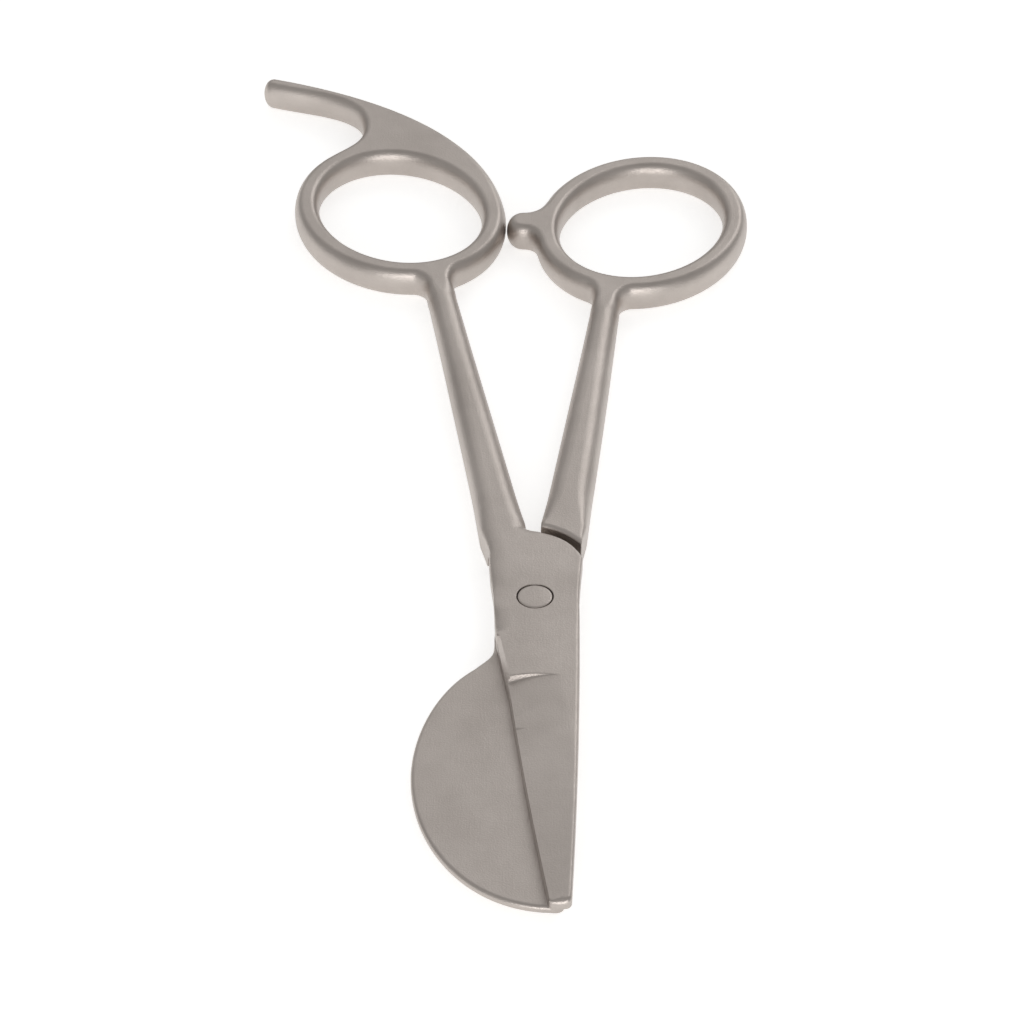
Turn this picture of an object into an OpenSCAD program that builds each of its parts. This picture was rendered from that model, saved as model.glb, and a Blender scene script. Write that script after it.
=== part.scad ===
// Duckbill trimming scissors: two forged halves that cross at a flush rivet.
// +Y runs from the pivot to the handles, +Z is up, and z = 0 is the surface they lie on.

/* [Blades] */
// Distance from the pivot to the blade tips
tip_reach = 54.4; // [46:0.1:66]
// Width of the joint block across the pivot
block_w = 10.8; // [9:0.1:13]
// How far the paddle bulges sideways from the pivot line
paddle_bulge = 15.2; // [12.6:0.2:18.4]
// Thickness of the paddle
paddle_t = 1.2; // [1:0.1:1.5]
// Thickness of the straight blade behind its cutting edge
edge_t = 1.35; // [1:0.05:1.5]
// Width of the straight blade at its tip
tip_w = 2.8; // [2.2:0.1:3.4]
// Tilt of the straight blade's ground face, in degrees
grind_tilt = 7.5; // [6:0.5:9.5]

/* [Handles] */
// Height of the two joint blocks together, and nearly that of the handles
handle_t = 4.4; // [3.7:0.1:5.3]
// Width of each shank where it meets its ring
shank_w_ring = 3.8; // [2.8:0.1:4.2]
// Width of each shank where it meets the joint block
shank_w_block = 6; // [4.2:0.1:6.6]
// How far the rounding of the handles' long edges reaches in from their walls
edge_round = 1.2; // [1:0.05:1.3]

/* [Rings] */
// Long inner diameter of each ring
hole_long = 25.6; // [21.2:0.2:30.8]
// Short inner diameter of each ring
hole_short = 21.6; // [18:0.2:26]
// Width of the ring's wall
ring_wall = 3.4; // [2.9:0.1:4.1]
// Lean of each ring's long axis away from +Y, in degrees
ring_lean = 29; // [20:1:36]
// Distance from the pivot up to the finger ring's centre
finger_reach = 83.4; // [69:0.5:100]
// Distance from the pivot line out to the finger ring's centre
finger_side = 18.4; // [17:0.1:21]
// Distance from the pivot up to the thumb ring's centre
thumb_reach = 80.2; // [74:0.5:92]
// Distance from the pivot line out to the thumb ring's centre
thumb_side = 15; // [13.5:0.1:17]

/* [Finger rest] */
// How far the rest's tip stands up from the finger ring's centre
rest_rise = 30.2; // [27:0.2:36]
// How far the rest's tip stands out from the finger ring's centre
rest_out = 18.6; // [16:0.2:22.4]
// Width of the finger rest
rest_w = 2.9; // [2.8:0.1:3.5]

/* [Stop] */
// Width of the stop nub on the thumb ring
stop_w = 4.6; // [3.9:0.1:5.5]
// Gap between the closed stop nub and the finger ring
stop_gap = 0.15; // [0.1:0.05:0.3]

/* [Pivot] */
// Diameter of the rivet's shank
rivet_d = 3; // [2.5:0.1:3.6]
// Diameter of the rivet's flush head
head_d = 4.4; // [3.8:0.1:5.2]
// Thickness of the rivet's head
head_t = 1; // [0.8:0.05:1.2]
// Radial running clearance of the rivet's shank in the straight half
run_gap = 0.04; // [0.02:0.01:0.08]
// Radial gap around the rivet's flush head
head_gap = 0.14; // [0.06:0.02:0.2]
// Clearance between the two rubbing faces
face_gap = 0.04; // [0.02:0.02:0.1]

/* [Hidden] */
steel = "darkgray";

// Height of the plane where the halves rub, and the floor of the upper half
mate_z = handle_t / 2;
floor_z = mate_z + face_gap / 2;
// How far the blocks' ground faces stand proud of the handles
proud = 0.03;
// Height of the rounding, which makes the handles nearly oval in section
edge_rise = 0.45 * handle_t;
// How far the rivet's peened tail stops short of the resting face
tail_recess = 0.05;
tail_h = 1;
// Outer semi-axes of a ring
ring_a = hole_long / 2 + ring_wall;
ring_b = hole_short / 2 + ring_wall;
finger_centre = [-finger_side, finger_reach];
thumb_centre = [-thumb_side, thumb_reach];
// The block's rounded shoulder is an arc about [-shoulder_x, shoulder_y]
shoulder_x = 0.15 * block_w;
shoulder_y = 5.2;
shoulder_r = 0.75 * block_w;
shoulder_gap = 1.1;
block_top = shoulder_y + shoulder_r;
// Depth of the ground face's runout, and where it and the cutting edge start
step_y = -15.4;
heel_y = -8;
heel_x = -block_w / 2 + 0.6;
point_x = 1.4;
arc_fn = 96;
round_steps = 3;
overrun = 1;

// ---- plane curves -------------------------------------------------------------------------

function unit(v) = v / norm(v);
function turn(v, a) = [v.x * cos(a) - v.y * sin(a), v.x * sin(a) + v.y * cos(a)];
function heading(a) = [cos(a), sin(a)];
function flipped(points) = [for (p = points) [-p.x, p.y]];

// n points of a cubic curve, without its last point
function cubic(p0, p1, p2, p3, n) = [for (i = [0:n - 1]) let (t = i / n, u = 1 - t)
    u * u * u * p0 + 3 * u * u * t * p1 + 3 * u * t * t * p2 + t * t * t * p3];

// A smooth curve that leaves p0 along d0 and arrives at p1 along d1
function blend(p0, d0, p1, d1, pull, n) = let (reach = pull * norm(p1 - p0))
    cubic(p0, p0 + reach * unit(d0), p1 - reach * unit(d1), p1, n);

// A point on a ring's oval at angle t, grow outside its hole, and the direction of travel there
function oval_at(centre, t, grow) = let (a = t - 90 - ring_lean)
    centre + turn([(hole_long / 2 + grow) * cos(a), (hole_short / 2 + grow) * sin(a)], 90 + ring_lean);
function oval_way(t) = let (a = t - 90 - ring_lean)
    turn([-ring_a * sin(a), ring_b * cos(a)], 90 + ring_lean);
function oval_run(centre, t0, t1, grow, n) = [for (i = [0:n - 1])
    oval_at(centre, t0 + (t1 - t0) * i / n, grow)];

// Each point of a closed outline moved inwards by d
function inset(outline, d) = let (n = len(outline)) [for (i = [0:n - 1])
    outline[i] + d * turn(unit(outline[(i + 1) % n] - outline[(i + n - 1) % n]), 90)];

// ---- solids with rounded edges ------------------------------------------------------------

// Pairs of height and inset up the side of a handle, from its lower edge to its upper one
function side_levels() = let (bend = [for (k = [0:round_steps]) 90 * k / round_steps])
    concat([for (a = bend) [proud + edge_rise * (1 - cos(a)), edge_round * (1 - sin(a))]],
        [for (a = bend) [handle_t - proud - edge_rise * (1 - sin(a)), edge_round * (1 - cos(a))]]);

// Triangles that fill a closed outline, found by clipping one ear after another
function area(a, b, c) = (b.x - a.x) * (c.y - a.y) - (b.y - a.y) * (c.x - a.x);
function inside(p, a, b, c) = area(a, b, p) >= 0 && area(b, c, p) >= 0 && area(c, a, p) >= 0;
function is_ear(pts, left, i) = let (n = len(left), ia = left[(i + n - 1) % n], ib = left[i],
        ic = left[(i + 1) % n], a = pts[ia], b = pts[ib], c = pts[ic])
    area(a, b, c) > 0.000001 &&
    len([for (j = left) if (j != ia && j != ib && j != ic && inside(pts[j], a, b, c)) j]) == 0;
function next_ear(pts, left, i) = i >= len(left) || is_ear(pts, left, i) ? i % len(left) :
    next_ear(pts, left, i + 1);
function ears(pts, left) = len(left) <= 3 ? [left] : let (n = len(left), e = next_ear(pts, left, 1))
    concat([[left[(e + n - 1) % n], left[e], left[(e + 1) % n]]],
        ears(pts, [for (k = [0:n - 1]) if (k != e) left[k]]));

// A solid skinned over loops of equal length, bottom loop first. The end loops have one outline
module skin(loops) {
    n = len(loops[0]);
    last = len(loops) - 1;
    sides = [for (k = [0:last - 1], i = [0:n - 1]) let (j = (i + 1) % n, a = k * n, b = a + n)
        each [[a + i, b + i, b + j], [a + i, b + j, a + j]]];
    floor_tris = ears(loops[0], [for (i = [0:n - 1]) i]);
    roof_tris = [for (f = floor_tris) [for (i = [2:-1:0]) last * n + f[i]]];
    polyhedron([for (loop = loops) each loop], concat(floor_tris, roof_tris, sides));
}

module rounded_slab(outline) {
    skin([for (level = side_levels())
        [for (p = inset(outline, level[1])) [p.x, p.y, level[0]]]]);
}

// The cutter for a ring's hole, flared where it rounds the rims
module ring_hole(centre) {
    below = [-overrun, edge_round];
    above = [handle_t + overrun, edge_round];
    skin([for (level = concat([below], side_levels(), [above]))
        [for (p = oval_run(centre, 0, 360, level[1], 48)) [p.x, p.y, level[0]]]]);
}

// Turns a part of the upper half over, so that it becomes a part of the lower half
module flip() {
    translate([0, 0, handle_t]) rotate([0, 180, 0]) children();
}

// ---- handles, drawn as they lie in the upper half -----------------------------------------

// Where a shank's centre line leaves the block
function foot_of(centre) =
    [-block_w / 2 + shank_w_block / 2 + 0.088 * (centre.x + 6) - 0.55, block_top + 1.2];

// A shank's direction, and the ends of its inner and outer walls. attach is where it meets its ring
function shank(centre, attach) =
    let (foot = foot_of(centre), top = oval_at(centre, attach, ring_wall), way = unit(top - foot),
        out = turn(way, 90), neck = top - 0.8 * ring_wall * way)
    [way, foot - shank_w_block / 2 * out, neck - shank_w_ring / 2 * out,
        neck + shank_w_ring / 2 * out, foot + shank_w_block / 2 * out];

// Out of the block by a fillet, up the inner wall and onto the ring
function inner_wall(centre, attach) = let (s = shank(centre, attach), way = s[0], t = attach + 14,
        hub = [-shoulder_x, shoulder_y])
    concat([hub + [3, 2.6], hub + (shoulder_r - 0.6) * heading(48)],
        blend(hub + (shoulder_r - 0.14) * heading(74), heading(160), s[1] + 0.9 * way, way, 0.5, 5),
        [s[1] + 0.9 * way],
        blend(s[2], way, oval_at(centre, t, ring_wall), oval_way(t), 0.36, 6));

// Off the ring, down the outer wall and into the block. The wall is bowed in by bow, or out if below 0
function outer_wall(centre, attach, bow) = let (s = shank(centre, attach), way = s[0], t = 346 + attach)
    concat(blend(oval_at(centre, t, ring_wall), oval_way(t), s[3], -way, 0.36, 6),
        [for (k = [0:7]) let (u = k / 8) s[3] + u * (s[4] - s[3]) - 4 * bow * u * (1 - u) * turn(way, 90)],
        [s[4], s[4] - 7 * way - 0.7 * turn(way, 90)]);

// The finger rest: off the ring, round the tip, back along the inner edge and round the notch
rest_tip = finger_centre + [-rest_out, rest_rise];
rest_angle = 163;
rest_leaves = 6;
rest_returns = 136;
finger_attach = -72;
rest_notch = rest_tip + [12.9, -10.8];
function rest_edge() = let (way = heading(rest_angle), half = rest_w / 2 * heading(rest_angle - 90))
    concat(
        blend(oval_at(finger_centre, rest_leaves, ring_wall), oval_way(rest_leaves),
            rest_tip + half, way, 0.37, 20),
        [for (a = [-90:18:72]) rest_tip + rest_w / 2 * heading(rest_angle + a)],
        blend(rest_tip - half, turn(-way, -3), rest_notch, [0, -1], 0.42, 12),
        blend(rest_notch, [0, -1], oval_at(finger_centre, rest_returns, ring_wall),
            oval_way(rest_returns), 0.4, 8));

function finger_outline() = concat(
    inner_wall(finger_centre, finger_attach),
    oval_run(finger_centre, finger_attach + 14, rest_leaves, ring_wall, 12),
    rest_edge(),
    oval_run(finger_centre, rest_returns, 346 + finger_attach, ring_wall, 20),
    outer_wall(finger_centre, finger_attach, 0.05));

// The stop nub points at the finger ring, which lies over at +X in this view
thumb_attach = -74;
stop_tip = let (p = oval_at(finger_centre, -8, ring_wall)) [-p.x - stop_gap, p.y];
stop_hub = stop_tip - [stop_w / 2, 0];
stop_aim = atan2(stop_hub.y - thumb_centre.y, stop_hub.x - thumb_centre.x);
stop_from = stop_aim - 14.6;
stop_to = stop_aim + 29.4;
function stop_edge() = concat(
    blend(oval_at(thumb_centre, stop_from, ring_wall), oval_way(stop_from),
        stop_hub - [0, stop_w / 2], [1, 0], 0.4, 6),
    [for (a = [-90:15:75]) stop_hub + stop_w / 2 * heading(a)],
    blend(stop_hub + [0, stop_w / 2], [-1, 0],
        oval_at(thumb_centre, stop_to, ring_wall), oval_way(stop_to), 0.4, 8));

function thumb_outline() = concat(
    inner_wall(thumb_centre, thumb_attach),
    oval_run(thumb_centre, thumb_attach + 14, stop_from, ring_wall, 9),
    stop_edge(),
    oval_run(thumb_centre, stop_to, 346 + thumb_attach, ring_wall, 36),
    outer_wall(thumb_centre, thumb_attach, -0.15));

// The round recess under the rubbing plane where the other half's block turns
module shoulder_cut() {
    translate([0, 0, -overrun])
        cylinder(h = floor_z + proud + overrun, r = shoulder_r + shoulder_gap, $fn = arc_fn);
}

module handle(outline, centre) {
    difference() {
        rounded_slab(outline);
        ring_hole(centre);
        translate([shoulder_x, shoulder_y, 0]) shoulder_cut();
        translate([-3 * block_w, shoulder_y - 4 * block_w, -overrun])
            cube([6 * block_w, 4 * block_w, floor_z + proud + overrun]);
    }
}

// ---- joint block and blades, drawn as they lie in the upper half --------------------------

// The block's inner wall from the shank down to the heel, and its outer wall from the pivot line up
block_inner = [[-block_w / 2 - 0.9, block_top + 1], [-block_w / 2 - 0.5, 10], [-block_w / 2 - 0.4, 7.4],
    [-block_w / 2 - 0.2, 4], [-block_w / 2 + 0.2, 0], [-block_w / 2 + 0.35, -5]];
function block_outer(x) = [[x, 0], [x + 0.15, 3], [x + 0.5, 7.6], [x + 0.5, block_top + 1]];

// A block whose outer wall stands at x, with the blade given by the two walls below it
module block(below_outer, x, below_inner) {
    intersection() {
        translate([0, 0, floor_z]) linear_extrude(handle_t - floor_z)
            polygon(concat(below_outer, block_outer(x), block_inner, below_inner));
        union() {
            translate([-shoulder_x, shoulder_y, 0]) cylinder(h = handle_t, r = shoulder_r, $fn = arc_fn);
            translate([-50, shoulder_y - 100, 0]) cube([100, 100, handle_t]);
        }
    }
}

// A cutter with a sloping end, whose floor is z = 0 and whose top end reaches y = 0
module ground_cutter() {
    rotate([90, 0, 90]) linear_extrude(100, center = true)
        polygon([[-100, 0], [0, 0], [2.3, 4], [-100, 4]]);
}

// The straight blade
tip_left = [point_x, -tip_reach + 0.6];
edge_start = [heel_x + 1.6, -18];
edge_lean = atan2(tip_left.x - edge_start.x, edge_start.y - tip_left.y);
heel_lean = atan2(edge_start.x - heel_x, heel_y - edge_start.y);
land_t = 0.25;
land_w = 0.04;
bevel_w = 0.45;
// How far the heel's bevel runs on past the corner, so that no sliver is left between the two
bevel_lap = 0.2;
spine_x = block_w / 2 + 0.2;
straight_spine = concat(
    [tip_left, [point_x + 0.5, -tip_reach], [point_x + tip_w - 0.9, -tip_reach],
        [point_x + tip_w, -tip_reach + 1]],
    [for (i = [5:-1:1]) let (t = i / 6)
        [spine_x - (spine_x - point_x - tip_w) * pow(t, 1.9), -t * (tip_reach - 1)]]);
straight_inner = [[heel_x, heel_y], edge_start];

// The steep bevel behind a stretch of the cutting edge, above a thin upright land
module cutting_bevel(start, lean, length) {
    translate([start.x, start.y, floor_z]) rotate([90, 0, lean]) linear_extrude(length)
        polygon([[-3, land_t], [land_w, land_t], [land_w + bevel_w, land_t + edge_t],
            [land_w + bevel_w, 2 * handle_t], [-3, 2 * handle_t]]);
}

module straight_blade() {
    difference() {
        block(straight_spine, spine_x, straight_inner);
        translate([edge_start.x, edge_start.y, mate_z + edge_t]) rotate([0, 0, edge_lean])
            rotate([0, -grind_tilt, 0]) translate([0, step_y - edge_start.y, 0]) ground_cutter();
        cutting_bevel(edge_start, edge_lean, 2 * tip_reach);
        cutting_bevel([heel_x, heel_y], heel_lean, norm(edge_start - [heel_x, heel_y]) + bevel_lap);
    }
}

// The paddle, turned over. Its cutting edge runs under the straight blade
paddle_mid = -0.566 * tip_reach;
throat_x = block_w / 2 - 0.3;
module paddle() {
    side = cubic([paddle_bulge, paddle_mid], [paddle_bulge, -0.425 * tip_reach],
        [0.8 * paddle_bulge, -14.9], [0.5 * paddle_bulge, -11.2], 14);
    round = cubic([-2, -tip_reach + 0.5], [0.54 * paddle_bulge, -tip_reach + 0.5],
        [paddle_bulge, -0.79 * tip_reach], [paddle_bulge, paddle_mid], 22);
    throat = cubic([0.5 * paddle_bulge, -11.2], [0.5 * paddle_bulge - 1.6, -9.3],
        [throat_x - 0.1, -9], [throat_x, -6], 7);
    difference() {
        block(concat([[-3.2, -tip_reach + 1.2]], round, side, throat, [[throat_x, -6]]), throat_x + 0.05,
            [[-block_w / 2 + 0.4, -9]]);
        translate([0, -9, mate_z + paddle_t]) rotate([0, 0, 22]) ground_cutter();
    }
}

// ---- sub-parts ----------------------------------------------------------------------------

// Lower half: the thumb ring, the lower block and the paddle
module duckbill_half() {
    color(steel) difference() {
        flip() union() {
            handle(thumb_outline(), thumb_centre);
            paddle();
        }
        cylinder(h = 3 * handle_t, d = rivet_d, center = true, $fn = arc_fn);
        cylinder(h = tail_h, d1 = head_d, d2 = rivet_d, $fn = arc_fn);
    }
}

// Upper half: the finger ring with its rest, the upper block and the straight blade
module straight_half() {
    color(steel) difference() {
        union() {
            handle(finger_outline(), finger_centre);
            straight_blade();
        }
        cylinder(h = 3 * handle_t, d = rivet_d + 2 * run_gap, center = true, $fn = arc_fn);
        translate([0, 0, handle_t - head_t - face_gap])
            cylinder(h = head_t + overrun, d = head_d + 2 * head_gap, $fn = arc_fn);
    }
}

// Flush rivet: head on top, peened into the lower block's countersink
module pivot_rivet() {
    color(steel) union() {
        translate([0, 0, handle_t - head_t]) cylinder(h = head_t, d = head_d, $fn = arc_fn);
        translate([0, 0, tail_h]) cylinder(h = handle_t - head_t - tail_h, d = rivet_d, $fn = arc_fn);
        intersection() {
            cylinder(h = tail_h, d1 = head_d, d2 = rivet_d, $fn = arc_fn);
            translate([0, 0, tail_recess]) cylinder(h = tail_h, d = 2 * head_d, $fn = arc_fn);
        }
    }
}

duckbill_half();
straight_half();
pivot_rivet();
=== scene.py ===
"""Duckbill trimming scissors in satin stainless steel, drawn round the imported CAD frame.

Each forged half is a relief: one plan outline, a top and an underside given as heights over it, and
edges rounded by rows of points that follow the outline. Plan sizes are in millimetres, and a mesh is
turned to metres when it is made.
"""
import math

import bpy
import numpy as np
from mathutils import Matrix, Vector
from mathutils.geometry import delaunay_2d_cdt
from mathutils.kdtree import KDTree


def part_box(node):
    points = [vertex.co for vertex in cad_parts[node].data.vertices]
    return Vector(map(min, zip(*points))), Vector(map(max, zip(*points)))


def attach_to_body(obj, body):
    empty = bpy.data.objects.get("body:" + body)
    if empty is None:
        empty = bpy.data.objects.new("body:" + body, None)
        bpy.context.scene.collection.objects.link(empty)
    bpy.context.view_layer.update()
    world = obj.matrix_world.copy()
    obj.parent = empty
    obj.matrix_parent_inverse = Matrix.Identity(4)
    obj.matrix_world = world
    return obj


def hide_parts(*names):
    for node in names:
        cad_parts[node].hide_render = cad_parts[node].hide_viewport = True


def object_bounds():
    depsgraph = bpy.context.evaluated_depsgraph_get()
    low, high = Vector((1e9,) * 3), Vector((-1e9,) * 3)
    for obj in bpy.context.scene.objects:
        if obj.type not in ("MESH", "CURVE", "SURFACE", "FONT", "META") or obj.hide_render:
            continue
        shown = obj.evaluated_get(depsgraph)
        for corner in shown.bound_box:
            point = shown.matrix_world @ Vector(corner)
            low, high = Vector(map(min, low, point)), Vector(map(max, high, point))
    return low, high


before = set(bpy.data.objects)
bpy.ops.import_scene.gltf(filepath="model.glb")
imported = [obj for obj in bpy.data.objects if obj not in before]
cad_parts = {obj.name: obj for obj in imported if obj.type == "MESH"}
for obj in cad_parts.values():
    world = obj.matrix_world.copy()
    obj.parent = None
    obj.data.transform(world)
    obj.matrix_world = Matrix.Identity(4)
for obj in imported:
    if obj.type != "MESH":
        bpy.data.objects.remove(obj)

CAD_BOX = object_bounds()
MM = 0.001

bl_info = {
    "name": "Duckbill trimming scissors",
    "version": (1, 0, 0),
    "blender": (4, 5, 0),
    "location": "View3D > Sidebar > Trimmer",
    "description": "Builds a closed pair of duckbill trimming scissors and its stage",
    "category": "Object",
}

# The frame's own measures, in millimetres: total height, the plane where the halves rub, the rivet
low, high = (np.array(corner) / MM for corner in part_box("straight_half"))
TOTAL = float(high[2])
MATE = TOTAL / 2
RUB_GAP = 0.04
FLOOR = MATE + RUB_GAP / 2
HANDLE_PROUD = 0.03
rivet_low, rivet_high = (np.array(corner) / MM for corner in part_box("pivot_rivet"))
HEAD_R = float(rivet_high[0])
TIP_REACH = -float(low[1])
# The rivet: shank radius, height of its head and of its tail, and the gaps of the bore that turns on it
RIVET_R, HEAD_T, TAIL_T = 1.5, 1, 1
TURN_GAP, HEAD_RING = 0.04, 0.14


# ---- plane curves -------------------------------------------------------------------------------

def vec(*xy):
    return np.array(xy, float)


def unit(v):
    return v / np.linalg.norm(v)


def turn(v, degrees):
    c, s = math.cos(math.radians(degrees)), math.sin(math.radians(degrees))
    return np.array([v[0] * c - v[1] * s, v[0] * s + v[1] * c])


def heading(degrees):
    return turn(vec(1, 0), degrees)


def cubic(p0, p1, p2, p3, n=40):
    t = np.linspace(0, 1, n + 1)[:, None]
    u = 1 - t
    return u**3 * p0 + 3 * u * u * t * p1 + 3 * u * t * t * p2 + t**3 * p3


def blend(p0, d0, p1, d1, pull, n=40):
    """A smooth curve that leaves p0 along d0 and arrives at p1 along d1."""
    reach = pull * np.linalg.norm(p1 - p0)
    return cubic(p0, p0 + reach * unit(d0), p1 - reach * unit(d1), p1, n)


def through(points, n=12):
    """A smooth curve through every point."""
    p = np.array(points, float)
    p = np.vstack([2 * p[0] - p[1], p, 2 * p[-1] - p[-2]])
    runs = []
    for a, b, c, d in zip(p, p[1:], p[2:], p[3:]):
        runs.append(cubic(b, b + (c - a) / 6, c - (d - b) / 6, c, n)[:-1])
    return np.vstack(runs + [p[-2:-1]])


def arc(centre, radius, start, end, n=40):
    a = np.radians(np.linspace(start, end, n + 1))
    return centre + radius * np.stack([np.cos(a), np.sin(a)], 1)


def smoothstep(low_edge, high_edge, x):
    t = np.clip((x - low_edge) / (high_edge - low_edge), 0, 1)
    return t * t * (3 - 2 * t)


class Oval:
    """A ring's oval: its centre, the two inner semi-axes, and the lean of its long axis from +Y."""

    def __init__(self, centre, half_long, half_short, wall, lean):
        self.centre, self.half, self.wall, self.lean = centre, (half_long, half_short), wall, lean

    def at(self, t, grow=None):
        grow = self.wall if grow is None else grow
        a = math.radians(t - 90 - self.lean)
        local = vec((self.half[0] + grow) * math.cos(a), (self.half[1] + grow) * math.sin(a))
        return self.centre + turn(local, 90 + self.lean)

    def way(self, t):
        a = math.radians(t - 90 - self.lean)
        local = vec(-(self.half[0] + self.wall) * math.sin(a), (self.half[1] + self.wall) * math.cos(a))
        return turn(local, 90 + self.lean)

    def run(self, start, end, grow=None):
        n = max(4, int(abs(end - start) / 2))
        return np.array([self.at(t, grow) for t in np.linspace(start, end, n + 1)])


# ---- outlines, drawn as the half lies when it is the upper one ------------------------------------
# Each is a list of (points, edge kind) runs, counter-clockwise, each run starting where the last ended.

def block_sizes(k):
    """Centre and radius of the block's round shoulder."""
    hub = vec(-0.15 * k.block_w, 5.2)
    return hub, 0.75 * k.block_w


def shank(k, oval, attach):
    """A shank's direction, then its foot and neck on the inner wall, and its neck and foot on the outer."""
    hub, radius = block_sizes(k)
    foot = vec(-k.block_w / 2 + k.shank_foot / 2 + 0.088 * (oval.centre[0] + 6) - 0.55,
               hub[1] + radius + 1.2)
    top = oval.at(attach)
    way = unit(top - foot)
    out = turn(way, 90)
    neck = top - 0.8 * oval.wall * way
    return (way, foot - k.shank_foot / 2 * out, neck - k.shank_neck / 2 * out,
            neck + k.shank_neck / 2 * out, foot + k.shank_foot / 2 * out)


def block_corner(k, wall):
    """Where a block's outer wall, which stands at x = wall, meets its round shoulder."""
    hub, radius = block_sizes(k)
    return math.degrees(math.acos((wall + 0.5 - hub[0]) / radius))


def rising_side(k, oval, attach, wall):
    """Round the block's shoulder, by a fillet up the shank's inner wall and onto the ring."""
    hub, radius = block_sizes(k)
    way, foot, neck, _, _ = shank(k, oval, attach)
    t = attach + 14
    return [(arc(hub, radius, block_corner(k, wall), 77), "shoulder"),
            (blend(hub + radius * heading(77), heading(167), foot + 0.9 * way, way, 0.5), "shank"),
            (np.array([foot + 0.9 * way, neck]), "shank"),
            (blend(neck, way, oval.at(t), oval.way(t), 0.36), "ring")]


def falling_side(k, oval, attach, bow):
    """Off the ring, down the shank's outer wall, bowed in by bow, and down the block's inner wall."""
    way, _, _, neck, foot = shank(k, oval, attach)
    t = 346 + attach
    u = np.linspace(0, 1, 41)[:, None]
    wall = neck + u * (foot - neck) - 4 * bow * u * (1 - u) * turn(way, 90)
    half = k.block_w / 2
    block = through([foot, (-half - 0.5, 10), (-half - 0.4, 7.4), (-half - 0.2, 4), (-half + 0.2, 0),
                     (-half + 0.35, -5)])
    return [(blend(oval.at(t), oval.way(t), neck, -way, 0.36), "ring"), (wall, "shank"),
            (block, "flank")]


def finger_runs(k):
    oval, attach, leaves, returns = k.finger_oval, -72, 6, 136
    tip = oval.centre + vec(-k.rest_out, k.rest_rise)
    way, half = heading(163), k.rest_w / 2
    notch = tip + vec(12.9, -10.8)
    rest = [
        (blend(oval.at(leaves), oval.way(leaves), tip + half * heading(73), way, 0.37, 80), "rest"),
        (arc(tip, half, 73, 253), "rest"),
        (blend(tip - half * heading(73), turn(-way, -3), notch, vec(0, -1), 0.42, 60), "rest"),
        (blend(notch, vec(0, -1), oval.at(returns), oval.way(returns), 0.4, 60), "rest")]
    return (rising_side(k, oval, attach, k.straight_wall) + [(oval.run(attach + 14, leaves), "ring")] + rest
            + [(oval.run(returns, 346 + attach), "ring")] + falling_side(k, oval, attach, 0.05))


def thumb_runs(k):
    oval, attach = k.thumb_oval, -74
    other = k.finger_oval.at(-8)
    half = k.stop_w / 2
    hub = vec(-other[0] - k.stop_gap - half, other[1])
    aim = math.degrees(math.atan2(*(hub - oval.centre)[::-1]))
    start, end = aim - 14.6, aim + 29.4
    nub = [(blend(oval.at(start), oval.way(start), hub - vec(0, half), vec(1, 0), 0.4), "nub"),
           (arc(hub, half, -90, 90), "nub"),
           (blend(hub + vec(0, half), vec(-1, 0), oval.at(end), oval.way(end), 0.4), "nub")]
    return (rising_side(k, oval, attach, k.paddle_wall) + [(oval.run(attach + 14, start), "ring")] + nub
            + [(oval.run(end, 346 + attach), "ring")] + falling_side(k, oval, attach, -0.15))


def spine_top(k, below, wall):
    hub, radius = block_sizes(k)
    return through([below, (wall, 0), (wall + 0.15, 3), (wall + 0.32, 5.4),
                    hub + radius * heading(block_corner(k, wall))])


def cutting_edge(k):
    """The straight blade's edge: heel, start of its long run, and the tip's corner."""
    heel = vec(-k.block_w / 2 + 0.6, -8)
    return heel, heel + vec(1.6, -10), vec(1.4, 0.6 - k.tip_reach)


def edge_belly(k, along):
    """How far the long run of the edge bows out, this far along it."""
    _, start, corner = cutting_edge(k)
    u = np.clip(along / np.linalg.norm(corner - start), 0, 1)
    return 4 * k.edge_belly * u * (1 - u)


def straight_runs(k):
    tip, wall = k.tip_reach, k.straight_wall
    heel, start, corner = cutting_edge(k)
    across = wall - corner[0] - k.tip_w
    end = corner[0] + k.tip_w
    spine = [(wall - across * (i / 24)**1.9, -i / 24 * (tip - 1)) for i in range(24, 1, -1)]
    length = np.linalg.norm(corner - start)
    a = np.linspace(0, length, 61)
    way = (corner - start) / length
    long_edge = start + a[:, None] * way - edge_belly(k, a)[:, None] * turn(way, 90)
    return finger_runs(k) + [
        (np.array([(-k.block_w / 2 + 0.35, -5), heel]), "flank"),
        (np.array([heel, start]), "edge"),
        (long_edge, "edge"),
        (cubic(corner, corner + vec(0.08, -0.35), vec(corner[0] + 0.25, -tip),
               vec(corner[0] + 0.6, -tip)), "tip"),
        (np.array([(corner[0] + 0.6, -tip), (end - 1, -tip)]), "tip"),
        (cubic(vec(end - 1, -tip), vec(end - 0.35, -tip), vec(end, 0.35 - tip), vec(*spine[0])), "tip"),
        (through(spine), "spine"),
        (spine_top(k, spine[-1], wall), "block")]


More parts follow.
